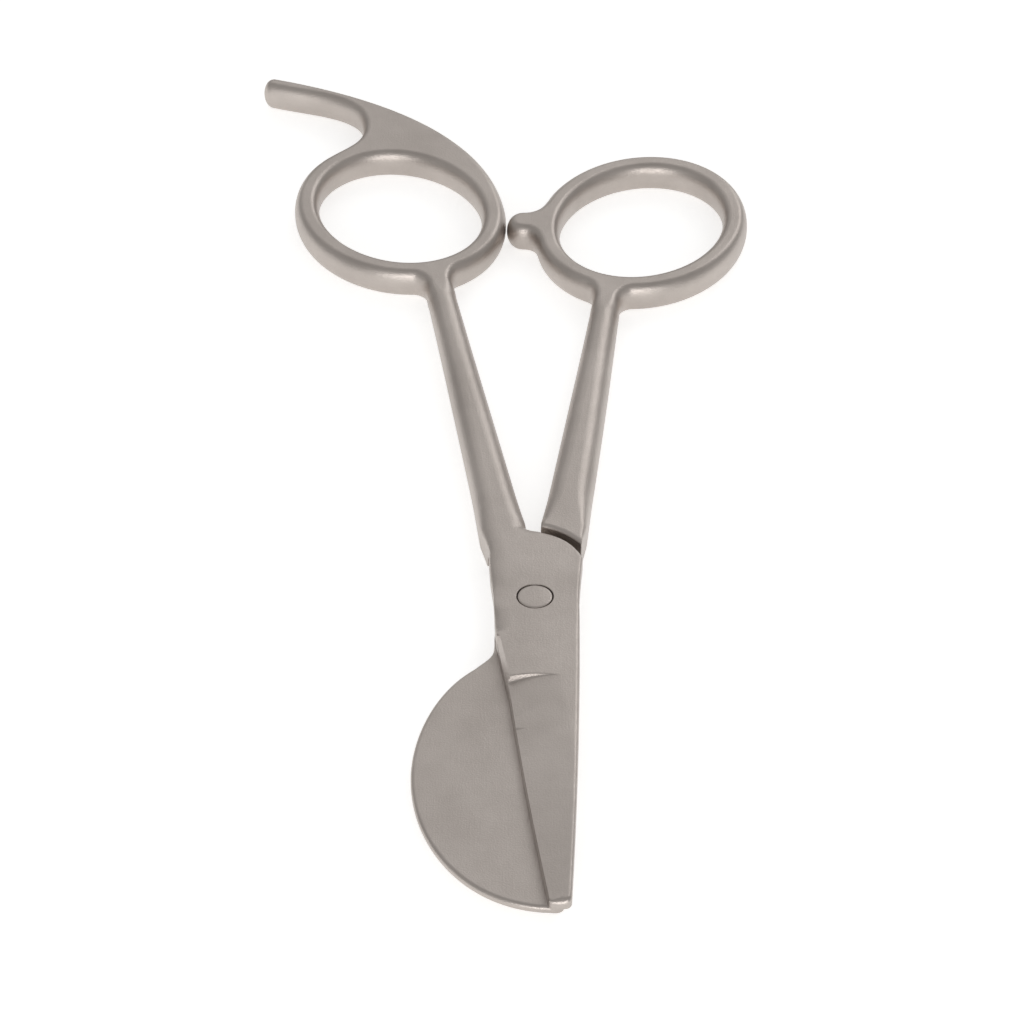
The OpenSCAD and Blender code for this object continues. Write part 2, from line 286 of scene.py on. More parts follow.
def paddle_runs(k):
    half, bulge, tip, wall = k.block_w / 2, k.paddle_bulge, k.tip_reach, k.paddle_wall
    throat_end = vec(0.5 * bulge, -11.2)
    middle = vec(bulge, -0.566 * tip)
    start = vec(-2, 0.5 - tip)
    return thumb_runs(k) + [
        (np.array([(-half + 0.35, -5), (-half + 0.4, -9)]), "flank"),
        (np.array([(-half + 0.4, -9), (-3.2, 1.2 - tip)]), "under"),
        (cubic(vec(-3.2, 1.2 - tip), vec(-3.0, 0.75 - tip), vec(-2.5, 0.5 - tip), start), "rim"),
        (cubic(start, vec(0.54 * bulge, 0.5 - tip), vec(bulge, -0.79 * tip), middle, 120), "rim"),
        (cubic(middle, vec(bulge, -0.425 * tip), vec(0.8 * bulge, -14.9), throat_end, 80), "rim"),
        (cubic(throat_end, throat_end + vec(-1.6, 1.9), vec(half - 0.4, -9), vec(half - 0.3, -6)),
         "throat"),
        (spine_top(k, (half - 0.3, -6), wall), "block")]


# ---- the relief ------------------------------------------------------------------------------------

class Loop:
    """A closed outline, evenly sampled, with each sample's inward normal and two rounding radii."""

    def __init__(self, points, kinds):
        self.points, self.kinds = points, kinds
        before, after = np.roll(points, 1, 0), np.roll(points, -1, 0)
        a = (points - before) / np.linalg.norm(points - before, axis=1)[:, None]
        b = (after - points) / np.linalg.norm(after - points, axis=1)[:, None]
        na = np.stack([-a[:, 1], a[:, 0]], 1)
        nb = np.stack([-b[:, 1], b[:, 0]], 1)
        self.inward = (na + nb) / np.maximum(1 + (na * nb).sum(1), 0.3)[:, None]


def sample_runs(runs, step, corner_angle=14):
    """Evenly spaced points round a closed list of runs. Corners are kept."""
    dense, kinds = [], []
    for points, kind in runs:
        gap = np.linalg.norm(np.diff(points, axis=0), axis=1)
        fine = [points[0]]
        for p, q, g in zip(points, points[1:], gap):
            n = max(1, int(g / (0.5 * step)))
            fine += [p + (q - p) * i / n for i in range(1, n + 1)]
        dense += fine[:-1]
        kinds += [kind] * (len(fine) - 1)
    dense = np.array(dense)
    keep = np.linalg.norm(dense - np.roll(dense, 1, 0), axis=1) > 1e-4
    dense, kinds = dense[keep], [kind for kind, ok in zip(kinds, keep) if ok]
    a = dense - np.roll(dense, 1, 0)
    b = np.roll(dense, -1, 0) - dense
    bend = np.degrees(np.abs(np.arctan2(a[:, 0] * b[:, 1] - a[:, 1] * b[:, 0], (a * b).sum(1))))
    corners = [i for i in range(len(dense)) if bend[i] > corner_angle] or [0]
    points, names = [], []
    for start, end in zip(corners, corners[1:] + [corners[0] + len(dense)]):
        index = np.arange(start, end + 1) % len(dense)
        run = dense[index]
        length = np.concatenate([[0], np.cumsum(np.linalg.norm(np.diff(run, axis=0), axis=1))])
        n = max(1, int(round(length[-1] / step)))
        spots = np.linspace(0, length[-1], n + 1)[:-1]
        points.append(np.stack([np.interp(spots, length, run[:, i]) for i in (0, 1)], 1))
        names += [kinds[index[min(int(np.searchsorted(length, s + 1e-9)), len(index) - 1) - 1]]
                  for s in spots]
    return np.vstack(points), names


def split_at_shoulder(points, kinds, inside, sliver=0.01):
    """Two close samples where the outline crosses the shoulder, so that the step stands upright."""
    flags = inside(points)
    out, names = [], []
    for i in range(len(points)):
        j = (i + 1) % len(points)
        out.append(points[i])
        names.append(kinds[i])
        if flags[i] != flags[j]:
            near, far = points[i], points[j]
            for _ in range(30):
                middle = (near + far) / 2
                if inside(middle[None])[0] == flags[i]:
                    near = middle
                else:
                    far = middle
            along = unit(points[j] - points[i])
            out += [near - sliver * along, near + sliver * along]
            names += [kinds[i]] * 2
    return np.array(out), names


def inside_loops(xy, loops):
    """True where a point is within the outline and outside its holes."""
    odd = np.zeros(len(xy), bool)
    for loop in loops:
        a, b = loop, np.roll(loop, -1, 0)
        for lo_i in range(0, len(xy), 4000):
            x, y = xy[lo_i:lo_i + 4000, 0:1], xy[lo_i:lo_i + 4000, 1:2]
            cross = (a[:, 1] > y) != (b[:, 1] > y)
            with np.errstate(divide="ignore", invalid="ignore"):
                at = a[:, 0] + (y - a[:, 1]) * (b[:, 0] - a[:, 0]) / (b[:, 1] - a[:, 1])
            odd[lo_i:lo_i + 4000] ^= (np.sum(cross & (x < at), axis=1) % 2).astype(bool)
    return odd


class Rim:
    """Distance from a point to the nearest outline, and the rounding's reach and height there."""

    def __init__(self, loops, radii):
        self.starts = np.vstack([loop.points for loop in loops])
        self.ends = np.vstack([np.roll(loop.points, -1, 0) for loop in loops])
        self.befores = np.vstack([np.roll(loop.points, 1, 0) for loop in loops])
        self.shape = np.vstack(radii)
        self.tree = KDTree(len(self.starts))
        for i, p in enumerate(self.starts):
            self.tree.insert((p[0], p[1], 0), i)
        self.tree.balance()

    def measure(self, xy):
        nearest = np.array([self.tree.find((x, y, 0))[1] for x, y in xy], int)
        best = np.full(len(xy), np.inf)
        for a, b in ((self.starts, self.ends), (self.befores, self.starts)):
            p, d = a[nearest], b[nearest] - a[nearest]
            t = np.clip(((xy - p) * d).sum(1) / np.maximum((d * d).sum(1), 1e-12), 0, 1)
            best = np.minimum(best, np.linalg.norm(xy - p - t[:, None] * d, axis=1))
        return best, self.shape[nearest]


def rounding(distance, reach, tall):
    """How far an edge, rounded in a quarter oval, has dropped at this distance from the outline."""
    lack = np.clip(1 - distance / reach, 0, 1)
    return tall * (1 - np.sqrt(1 - lack**2))


# Angles at which a rounded edge has a row of points, from the wall (0) to the flat (90)
ROWS = np.radians([0, 8, 17, 27, 38, 50, 63, 76, 90])
# A row's point stays if its true distance is at least this share of its own, and the plain grid of
# the flats keeps this far from the rounding
ROW_SHARE, GRID_CLEAR = 0.965, 0.45


def relief_sheet(loops, radii, level, features, upward, grid=1.6):
    """One side of a half: vertices, triangles, and for each loop its samples' vertex numbers."""
    rim = Rim(loops, radii)
    xy, drop, edges, numbers = [], [], [], []
    total = 0
    for loop, radius in zip(loops, radii):
        n = len(loop.points)
        numbers.append(np.arange(total, total + n))
        edges += [(total + i, total + (i + 1) % n) for i in range(n)]
        xy.append(loop.points)
        drop.append(radius[:, 1])
        total += n
    for loop, radius in zip(loops, radii):
        wide, tall = radius.T
        for angle in list(ROWS[1:]) + [None]:
            away = wide * (1 - math.cos(angle)) if angle is not None else wide + 0.1
            fall = tall * (1 - math.sin(angle)) if angle is not None else 0 * tall
            spots = loop.points + loop.inward * away[:, None]
            reach = rim.measure(spots)[0]
            keep = (reach > ROW_SHARE * away - 1e-4) & (away > 0.004)
            if angle is None:
                keep &= reach > away - 0.01
            xy.append(spots[keep])
            drop.append(fall[keep])
            total += int(keep.sum())
    for line in features:
        reach, shape = rim.measure(line)
        keep = (reach > 0.02) & inside_loops(line, [loop.points for loop in loops])
        fresh = np.where(keep)[0]
        place = {int(i): total + order for order, i in enumerate(fresh)}
        edges += [(place[i], place[i + 1]) for i in range(len(line) - 1) if i in place and i + 1 in place]
        xy.append(line[keep])
        drop.append(rounding(reach[keep], *shape[keep].T))
        total += len(fresh)
    lo, hi = loops[0].points.min(0), loops[0].points.max(0)
    gx, gy = np.meshgrid(np.arange(lo[0], hi[0], grid), np.arange(lo[1], hi[1], grid))
    gx[1::2] += grid / 2
    filler = np.stack([gx.ravel(), gy.ravel()], 1)
    filler = filler[inside_loops(filler, [loop.points for loop in loops])]
    reach, shape = rim.measure(filler)
    filler = filler[reach > shape[:, 0] + GRID_CLEAR]
    xy.append(filler)
    drop.append(np.zeros(len(filler)))
    xy, drop = np.vstack(xy), np.concatenate(drop)

    found, _, faces, sources, _, _ = delaunay_2d_cdt([Vector(p) for p in xy], edges, [], 0, 1e-6)
    plan = np.array([tuple(p) for p in found])
    fall = np.zeros(len(plan))
    place = np.full(len(xy), -1)
    crossings = []
    for i, source in enumerate(sources):
        if source:
            fall[i] = drop[source[0]]
            place[list(source)] = i
        else:
            crossings.append(i)
    if crossings:
        reach, shape = rim.measure(plan[crossings])
        fall[crossings] = rounding(reach, *shape.T)
    faces = np.array([f for f in faces if len(f) == 3])
    a, b, c = (plan[faces[:, i]] for i in range(3))
    size = (b[:, 0] - a[:, 0]) * (c[:, 1] - a[:, 1]) - (b[:, 1] - a[:, 1]) * (c[:, 0] - a[:, 0])
    faces[size < 0] = faces[size < 0][:, ::-1]
    faces = faces[inside_loops((a + b + c) / 3, [loop.points for loop in loops])]
    height = level(plan) - fall if upward else level(plan) + fall
    if not upward:
        faces = faces[:, ::-1]
    return np.column_stack([plan, height]), faces, [place[n] for n in numbers]


def edge_radii(loops, wanted, smooth=1.2, step=0.3, limit=0.485):
    """Reach and height of the rounding round each loop, which the local width limits."""
    every = np.vstack([loop.points for loop in loops])
    ends = np.vstack([np.roll(loop.points, -1, 0) for loop in loops])
    result = []
    for number, loop in enumerate(loops):
        target, rise = wanted(loop, number)
        width = np.full(len(loop.points), np.inf)
        for i, (p, d) in enumerate(zip(loop.points, loop.inward)):
            if target[i] < 0.35:
                continue
            d = unit(d)
            a, s = every - p, ends - every
            across = d[0] * s[:, 1] - d[1] * s[:, 0]
            with np.errstate(divide="ignore", invalid="ignore"):
                far = (a[:, 0] * s[:, 1] - a[:, 1] * s[:, 0]) / across
                where = (a[:, 0] * d[1] - a[:, 1] * d[0]) / across
            hit = (far > 0.3) & (where >= 0) & (where <= 1)
            if hit.any():
                width[i] = far[hit].min()
        radius = np.minimum(target, limit * width)
        shifts = range(-int(smooth / step), int(smooth / step) + 1)
        lowest = np.min([np.roll(radius, s) for s in shifts], axis=0)
        soft = np.mean([np.roll(lowest, s) for s in shifts], axis=0)
        wide = np.maximum(soft, 0.012)
        rise = np.mean([np.roll(rise, s) for s in shifts], axis=0)
        result.append(np.column_stack([wide, wide + rise * smoothstep(0.3, 1.1, wide)]))
    return result


def close_relief(top, bottom, bores):
    """Joins two sheets by their side walls. bores maps a loop's number to the rings of its bore."""
    (tv, tf, tn), (bv, bf, bn) = top, bottom
    verts, faces = [tv, bv], [tuple(f) for f in tf] + [tuple(f + len(tv)) for f in bf]
    total = len(tv) + len(bv)
    for number, (upper, lower) in enumerate(zip(tn, bn)):
        rings = [list(lower + len(tv))]
        for ring in bores.get(number, []):
            rings.append(list(range(total, total + len(ring))))
            verts.append(ring)
            total += len(ring)
        rings.append(list(upper))
        for below, above in zip(rings, rings[1:]):
            n = len(below)
            faces += [(below[i], below[(i + 1) % n], above[(i + 1) % n], above[i]) for i in range(n)]
    return np.vstack(verts), faces


def circle_loop(radius, n=96):
    """A hole's loop, clockwise."""
    return arc(vec(0, 0), radius, 360, 0, n)[:-1]


def ring_at(radius, z, n=96):
    return np.column_stack([circle_loop(radius, n), np.full(n, z)])


def mesh_object(name, verts, faces, sharp=32):
    mesh = bpy.data.meshes.new(name)
    mesh.from_pydata([tuple(v) for v in np.asarray(verts) * MM], [], [tuple(map(int, f)) for f in faces])
    mesh.validate()
    mesh.polygons.foreach_set("use_smooth", [True] * len(mesh.polygons))
    mesh.set_sharp_from_angle(angle=math.radians(sharp))
    piece = bpy.data.objects.new(name, mesh)
    bpy.context.scene.collection.objects.link(piece)
    return piece


# From the other block's round shoulder to the arc that makes room for it
SHOULDER_GAP = 1.1


def shoulder(k):
    """Centre and radius of the arc, under the rubbing plane, where the other block turns."""
    hub, radius = block_sizes(k)
    return vec(-hub[0], hub[1]), radius + SHOULDER_GAP


def in_recess(k, xy):
    centre, radius = shoulder(k)
    return (np.linalg.norm(xy - centre, axis=1) < radius) | (xy[:, 1] < centre[1])


def recess_level(k, xy, round_r=0.6):
    """The underside: the rubbing face inside the shoulder, and the handle's own underside beyond."""
    centre, radius = shoulder(k)
    beyond = np.linalg.norm(xy - centre, axis=1) - radius
    rounded = HANDLE_PROUD + rounding(np.maximum(beyond, 0), round_r, round_r)
    return np.where(in_recess(k, xy), FLOOR, rounded)


def shoulder_lines(k):
    """Creases along the shoulder's arc: its upright step, then the rounding beyond it."""
    centre, radius = shoulder(k)
    steps = (-0.01, 0.01, 0.05, 0.12, 0.22, 0.34, 0.48, 0.6, 0.75)
    return [arc(centre, radius + away, 20, 160, 90) for away in steps]


# The cutting bevel: height of the upright land under it, where it starts behind the edge, and how
# fast it climbs above the heel. RAMP is the slope of the grinding's runout
BEVEL_LAND, BEVEL_START, BEVEL_RISE = 1.1, 0.04, 1.5
RAMP = math.tan(math.radians(60))


def ground_height(k, away):
    """Height of the straight blade's ground face, this far from the line of its cutting edge."""
    return MATE + k.edge_t + math.tan(math.radians(k.grind_tilt)) * away


def blade_axes(k):
    """Along the straight blade's edge, square to it, and how far along the ramp ends."""
    _, start, corner = cutting_edge(k)
    along = unit(corner - start)
    return start, along, turn(along, 90), start[1] - k.step_y


def ramp_foot(k, away):
    """How far along the blade the ramp ends. It is a shallow arch, as a wheel leaves it."""
    end = blade_axes(k)[3]
    return end - k.ramp_arch * np.clip(1 - ((away - 3.2) / 3.6)**2, -1, 1)


def bevel_steepness(k, along):
    """The cutting bevel lies flattest at the heel and steepens towards the tip."""
    return 2.5 + 0.7 * smoothstep(-4, 18, along)


def straight_level(k, xy):
    """The straight half's top: flat, then the ramp down to the ground face, and the cutting bevel."""
    heel = cutting_edge(k)[0]
    start, along, right, _ = blade_axes(k)
    a, away = (xy - start) @ along, (xy - start) @ right
    lift = RAMP * (ramp_foot(k, away) - a)
    lift = (lift + np.sqrt(lift * lift + 0.02)) / 2
    flat = ground_height(k, away) + lift
    over = flat - TOTAL
    flat = TOTAL + (over - np.sqrt(over * over + 0.004)) / 2
    flat = np.where(over > 0.3, TOTAL, flat)
    near_heel = (xy - heel) @ turn(unit(start - heel), 90)
    edge_away = np.where(a > 0, away + edge_belly(k, a), near_heel) - BEVEL_START
    bevel = FLOOR + BEVEL_LAND + np.maximum(edge_away, 0) * bevel_steepness(k, a)
    bevel += BEVEL_RISE * np.maximum(xy[:, 1] - heel[1], 0)
    return np.minimum(flat, bevel)


def straight_lines(k):
    """The creases of the straight half's top."""
    heel, _, corner = cutting_edge(k)
    start, along, right, _ = blade_axes(k)
    length = np.linalg.norm(corner - start)
    across = np.arange(-1, 12, 0.2)
    foot = ramp_foot(k, across)
    depth = np.maximum(TOTAL - ground_height(k, across), 0)
    lines = []
    for share, shift in ((0, 0.4), (0, 0.2), (0, 0.08), (0, 0), (0.25, 0), (0.5, 0), (0.75, 0),
                         (0.9, 0), (1, 0), (1, -0.06), (1, -0.15), (1, -0.3)):
        spot = foot - share * depth / RAMP + shift
        lines.append(start + along * spot[:, None] + right * across[:, None])
    down = np.arange(foot.min() - 2, length + 3, 0.4)
    slope = math.tan(math.radians(k.grind_tilt))
    ridge = (TOTAL - MATE - k.edge_t) / slope
    for shift in (-0.5, -0.2, 0, 0.2, 0.5):
        lines.append(start + along * down[:, None] + right * (ridge + shift))
    # The bevel's two edges, down the long run and down the heel, and its rise out of the block
    down = down[down > 0.2]
    steep = bevel_steepness(k, down)
    wide = (MATE + k.edge_t - FLOOR - BEVEL_LAND + BEVEL_START * steep) / (steep - slope)
    for away in (np.full(len(down), BEVEL_START), wide):
        lines.append(start + along * down[:, None] + right * (away - edge_belly(k, down))[:, None])
    upper = unit(start - heel)
    run = np.arange(-2.4, np.linalg.norm(start - heel), 0.2)
    steep = bevel_steepness(k, run - 10)
    top = np.where(run > 6.9, MATE + k.edge_t, TOTAL)
    height = FLOOR + BEVEL_LAND + BEVEL_RISE * np.maximum(-run, 0)
    for share in (0, 0.33, 0.66, 1):
        away = BEVEL_START + share * np.maximum(top - height, 0) / steep
        lines.append(heel + upper * run[:, None] + turn(upper, 90) * away[:, None])
    return lines


PADDLE_STEP = vec(0, -9)
PADDLE_STEP_LEAN = 22


def paddle_level(k, xy):
    """The duckbill half's underside, turned up: the block's flat, then the ramp to the thin paddle."""
    lift = (xy - PADDLE_STEP) @ heading(90 + PADDLE_STEP_LEAN)
    lift = (lift + np.sqrt(lift * lift + 0.02)) / 2
    return np.minimum(TOTAL, MATE + k.paddle_t + lift)


def paddle_lines(k):
    across = np.arange(-12, 12, 0.3)[:, None] * heading(PADDLE_STEP_LEAN)
    up = heading(90 + PADDLE_STEP_LEAN)
    depth = TOTAL - MATE - k.paddle_t
    return [PADDLE_STEP + across + up * shift for shift in (-0.4, -0.15, 0, 0.12, 0.3, depth)]


def wanted_radii(k, table, recess):
    """A function that gives a loop's rounding, from tables of its reach by edge kind."""
    on_handle = {"shank": k.shank_round, "flank": k.shank_round, "shoulder": k.shank_round}
    on_block = {"flank": table["flank"], "shank": table["flank"]}

    def radii(loop, number):
        n = len(loop.points)
        if number == 2:
            return np.full(n, k.bore_break), np.zeros(n)
        y = loop.points[:, 1]
        up = smoothstep(9, 22, y)
        inner = np.array([on_block.get(kind, k.block_break) for kind in loop.kinds])
        outer = np.array([on_handle.get(kind, k.edge_round) for kind in loop.kinds])
        result = np.array([table.get(kind, 0) if kind != "flank" else 0 for kind in loop.kinds])
        low = np.array([table.get("flank_rise", 0) if kind in on_block else 0 for kind in loop.kinds])
        rise = np.where(result > 0, 0, low + (k.handle_rise - outer - low) * up)
        result = np.where(result > 0, result, inner + (outer - inner) * up)
        if recess:
            result = np.where(in_recess(k, loop.points) & (y > -6), k.rub_break, result)
        return result, rise
    return radii


def forged_half(k, name, runs, oval, level, lines, tops, unders, wide_bore, bore, bore_rings, flipped):
    """A whole half: outline, top and underside sheets, side walls and the rivet's bore."""
    points, kinds = sample_runs(runs, k.step)
    points, kinds = split_at_shoulder(points, kinds, lambda xy: in_recess(k, xy))
    n = int(2 * math.pi * max(oval.half) / k.step)
    hole = np.array([oval.at(t, 0) for t in np.linspace(360, 0, n + 1)[:-1]])
    outer, ring_hole = Loop(points, kinds), Loop(hole, ["ring"] * n)
    sides = []
    for radius, table, recess, surface, features, upward in (
            (wide_bore, tops, False, level, lines(k), True),
            (bore, unders, True, recess_level, shoulder_lines(k), False)):
        circle = circle_loop(radius)
        loops = [outer, ring_hole, Loop(circle, ["bore"] * len(circle))]
        radii = edge_radii(loops, wanted_radii(k, table, recess), step=k.step)
        sides.append(relief_sheet(loops, radii, lambda xy, f=surface: f(k, xy), features, upward))
    verts, faces = close_relief(sides[0], sides[1], {2: bore_rings})
    if flipped:
        verts = verts * (-1, 1, -1) + (0, 0, TOTAL)
    # The oval's samples can fall a micrometre or two outside the frame's box
    verts = np.clip(verts, *(np.array(corner) / MM for corner in CAD_BOX))
    return mesh_object(name, verts, faces)


# ---- materials -----------------------------------------------------------------------------------

def linear(hex_colour):
    """An sRGB hex colour as linear red, green and blue."""
    parts = [int(hex_colour[i:i + 2], 16) / 255 for i in (1, 3, 5)]
    return tuple(c / 12.92 if c <= 0.04045 else ((c + 0.055) / 1.055)**2.4 for c in parts)


def node(tree, kind, links=None, **settings):
    """Adds a node. settings are its properties, or its inputs by name; links feed inputs from sockets."""
    made = tree.nodes.new(kind)
    for name, value in settings.items():
        if hasattr(made, name):
            setattr(made, name, value)
        else:
            made.inputs[name.replace("_", " ")].default_value = value
    for name, source in (links or {}).items():
        tree.links.new(source, made.inputs[name])
    return made


def new_material(name):
    material = bpy.data.materials.new(name)
    material.use_nodes = True
    material.node_tree.nodes.clear()
    return material, material.node_tree


def satin_stainless(name, look, grain_along):
    """Satin stainless steel: blasted, then lightly brushed along the blades.

    Gives a soft, slightly warm grey sheen with no clear mirror image, a fine grain that breaks up the
    highlights, faint lengthwise brushing, and a few darker handling marks.
    """
    material, tree = new_material(name)
    coords = node(tree, "ShaderNodeTexCoord").outputs["Object"]
    # Blasting grit near 0.15 mm, drawn at 0.24 mm so that it shows
    grit = node(tree, "ShaderNodeTexNoise", {"Vector": coords},
                Scale=1 / 0.00024, Detail=3.0, Roughness=0.6)
    # Brushing lines 0.2 mm apart and about 6 mm long
    stretch = node(tree, "ShaderNodeMapping", {"Vector": coords})
    stretch.inputs["Scale"].default_value = (1, grain_along, 1)
    brushing = node(tree, "ShaderNodeTexNoise", {"Vector": stretch.outputs[0]},
                    Scale=1 / 0.0002, Detail=2.0)
    # Cloudy handling marks about 9 mm across
    cloud = node(tree, "ShaderNodeTexNoise", {"Vector": coords},
                 Scale=1 / 0.009, Detail=4.0, Roughness=0.55)
    tone = node(tree, "ShaderNodeMapRange", {"Value": cloud.outputs["Fac"]})
    for socket, value in (("From Min", 0.3), ("From Max", 0.7), ("To Min", 0.0), ("To Max", 1.0)):
        tone.inputs[socket].default_value = value
    steel = node(tree, "ShaderNodeMix", {"Factor": tone.outputs[0]}, data_type="RGBA")
    steel.inputs[6].default_value = (*look.steel_dark, 1)
    steel.inputs[7].default_value = (*look.steel_light, 1)
    rough = node(tree, "ShaderNodeMapRange", {"Value": grit.outputs["Fac"]})
    for socket, value in (("From Min", 0.25), ("From Max", 0.75), ("To Min", look.roughness - 0.05),
                          ("To Max", look.roughness + 0.06)):
        rough.inputs[socket].default_value = value
    fine = node(tree, "ShaderNodeBump", {"Height": grit.outputs["Fac"]}, Strength=look.grit_depth)
    fine.inputs["Distance"].default_value = 0.00007
    lines = node(tree, "ShaderNodeBump", {"Height": brushing.outputs["Fac"], "Normal": fine.outputs[0]},
                 Strength=look.brush_depth)
    lines.inputs["Distance"].default_value = 0.00004
    shader = node(tree, "ShaderNodeBsdfPrincipled", {
        "Base Color": steel.outputs[2], "Roughness": rough.outputs[0], "Normal": lines.outputs[0]},
        Metallic=1.0)
    node(tree, "ShaderNodeOutputMaterial", {"Surface": shader.outputs[0]})
    return material


def matt_floor(look):
    """Matt opal acrylic of a light table: a plain pale floor, lit softly from below, with no gloss."""
    material, tree = new_material("matt_opal_acrylic")
    coords = node(tree, "ShaderNodeTexCoord").outputs["Object"]
    cloud = node(tree, "ShaderNodeTexNoise", {"Vector": coords}, Scale=8.0)
    pale = node(tree, "ShaderNodeMix", {"Factor": cloud.outputs["Fac"]}, data_type="RGBA")
    pale.inputs[6].default_value = (*look.floor_colour, 1)
    pale.inputs[7].default_value = (*[min(1, c * 1.01) for c in look.floor_colour], 1)
    shader = node(tree, "ShaderNodeBsdfPrincipled", {"Base Color": pale.outputs[2]}, Roughness=0.9)
    shader.inputs["Specular IOR Level"].default_value = 0.1
    shader.inputs["Emission Color"].default_value = (1, 1, 1, 1)
    shader.inputs["Emission Strength"].default_value = look.floor_glow
    node(tree, "ShaderNodeOutputMaterial", {"Surface": shader.outputs[0]})
    return material


# ---- sizes and looks -----------------------------------------------------------------------------

def length_prop(name, description, mm):
    return bpy.props.FloatProperty(name=name, description=description, default=mm * MM, min=0,
                                   unit="LENGTH", precision=5)


def colour_prop(name, description, hex_colour):
    return bpy.props.FloatVectorProperty(name=name, description=description, subtype="COLOR", size=3,
                                         min=0, max=1, default=linear(hex_colour))


class TrimmerRings(bpy.types.PropertyGroup):
    hole_long: length_prop("Hole length", "Long inner diameter of each ring", 25.6)
    hole_short: length_prop("Hole width", "Short inner diameter of each ring", 21.6)
    wall: length_prop("Wall", "Width of a ring's wall", 3.4)
    lean: bpy.props.FloatProperty(name="Lean", description="Lean of each ring's long axis",
                                  default=math.radians(29), subtype="ANGLE")
    finger_side: length_prop("Finger ring out", "From the pivot line to the finger ring's centre", 18.4)
    finger_reach: length_prop("Finger ring up", "From the pivot up to the finger ring's centre", 83.4)
    thumb_side: length_prop("Thumb ring out", "From the pivot line to the thumb ring's centre", 15)
    thumb_reach: length_prop("Thumb ring up", "From the pivot up to the thumb ring's centre", 80.2)
    rest_rise: length_prop("Rest rise", "From the finger ring's centre up to the rest's tip", 30.2)
    rest_out: length_prop("Rest reach", "From the finger ring's centre out to the rest's tip", 18.6)
    rest_w: length_prop("Rest width", "Width of the finger rest", 2.9)
    stop_w: length_prop("Stop width", "Width of the stop nub", 4.6)
    stop_gap: length_prop("Stop gap", "Gap between the closed nub and the finger ring", 0.15)


class TrimmerBlades(bpy.types.PropertyGroup):
    block_w: length_prop("Block width", "Width of the joint block", 10.8)
    paddle_bulge: length_prop("Paddle bulge", "How far the paddle bulges sideways", 15.2)
    paddle_t: length_prop("Paddle thickness", "Thickness of the paddle", 1.2)
    edge_t: length_prop("Blade thickness", "Straight blade's thickness behind its edge", 1.35)
    tip_w: length_prop("Tip width", "Width of the straight blade's tip", 2.8)
    grind_tilt: bpy.props.FloatProperty(name="Grind tilt", description="Tilt of the ground face",
                                        default=7.5, min=0, max=15)
    ramp_arch: length_prop("Ramp arch", "How far the grinding runout arches", 0.5)
    edge_belly: length_prop("Edge belly", "How far the cutting edge bows out", 0.2)
    shank_foot: length_prop("Shank foot", "Width of a shank at the block", 6)
    shank_neck: length_prop("Shank neck", "Width of a shank at its ring", 3.8)
    edge_round: length_prop("Ring rounding", "Reach of the rounding on the rings", 1.2)
    shank_round: length_prop("Shank rounding", "Reach of the rounding on the shanks", 2.1)
    handle_rise: length_prop("Rounding height", "Height of the rounding on the handles", 2.1)
    block_break: length_prop("Block edges", "Rounding of the block's edges", 0.4)
    step: length_prop("Detail", "Spacing of the points along the outlines", 0.3)


class TrimmerLook(bpy.types.PropertyGroup):
    steel_dark: colour_prop("Steel, dark", "Darker tone of the steel", "#B5ADA7")
    steel_light: colour_prop("Steel, light", "Lighter tone of the steel", "#C3BBB5")
    floor_colour: colour_prop("Floor", "Colour of the floor", "#F4F4F3")
    floor_glow: bpy.props.FloatProperty(name="Floor glow", description="Light that the floor gives out",
                                        default=0.56, min=0)
    roughness: bpy.props.FloatProperty(name="Roughness", description="How matt the steel is",
                                       default=0.4, min=0, max=1, subtype="FACTOR")
    grit_depth: bpy.props.FloatProperty(name="Grit", description="Strength of the blasted grain",
                                        default=0.6, min=0, max=1, subtype="FACTOR")
    brush_depth: bpy.props.FloatProperty(name="Brushing", description="Strength of the brushed lines",
                                         default=0.25, min=0, max=1, subtype="FACTOR")
    light: bpy.props.FloatProperty(name="Light", description="Strength of the studio lights",
                                   default=1.0, min=0)
    focal: bpy.props.FloatProperty(name="Focal length", description="Focal length of the camera",
                                   default=175.8, min=20, unit="CAMERA")


class Sizes:
    """The sizes that the outline functions use, in millimetres, from the frame and the sidebar."""

    def __init__(self, scene):
        rings, blades = scene.trimmer_rings, scene.trimmer_blades
        for group in (rings, blades):
            for name, value in group.bl_rna.properties.items():
                if value.type == "FLOAT" and value.unit == "LENGTH":
                    setattr(self, name, getattr(group, name) / MM)
        self.grind_tilt = blades.grind_tilt
        self.tip_reach = TIP_REACH
        self.step_y = -15.8
        self.rub_break, self.bore_break = 0.05, 0.09
        self.straight_wall = self.block_w / 2 + 0.2
        self.paddle_wall = self.block_w / 2 - 0.5
        lean = math.degrees(rings.lean)
        shape = (self.hole_long / 2, self.hole_short / 2, self.wall, lean)
        self.finger_oval = Oval(vec(-self.finger_side, self.finger_reach), *shape)
        self.thumb_oval = Oval(vec(-self.thumb_side, self.thumb_reach), *shape)


# Where the camera aims (x, y), its angle above the floor in degrees, and its distance, in metres
CAMERA_AIM, CAMERA_ELEVATION, CAMERA_DISTANCE = (-0.002893, 0.019265), 39.5375, 0.6452445


# ---- operators -----------------------------------------------------------------------------------

def hand_over(piece, body, stands_for, material):
    """Puts a piece on its body, in place of its CAD node, in its finish."""
    piece.data.materials.append(material)
    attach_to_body(piece, body)
    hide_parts(stands_for)


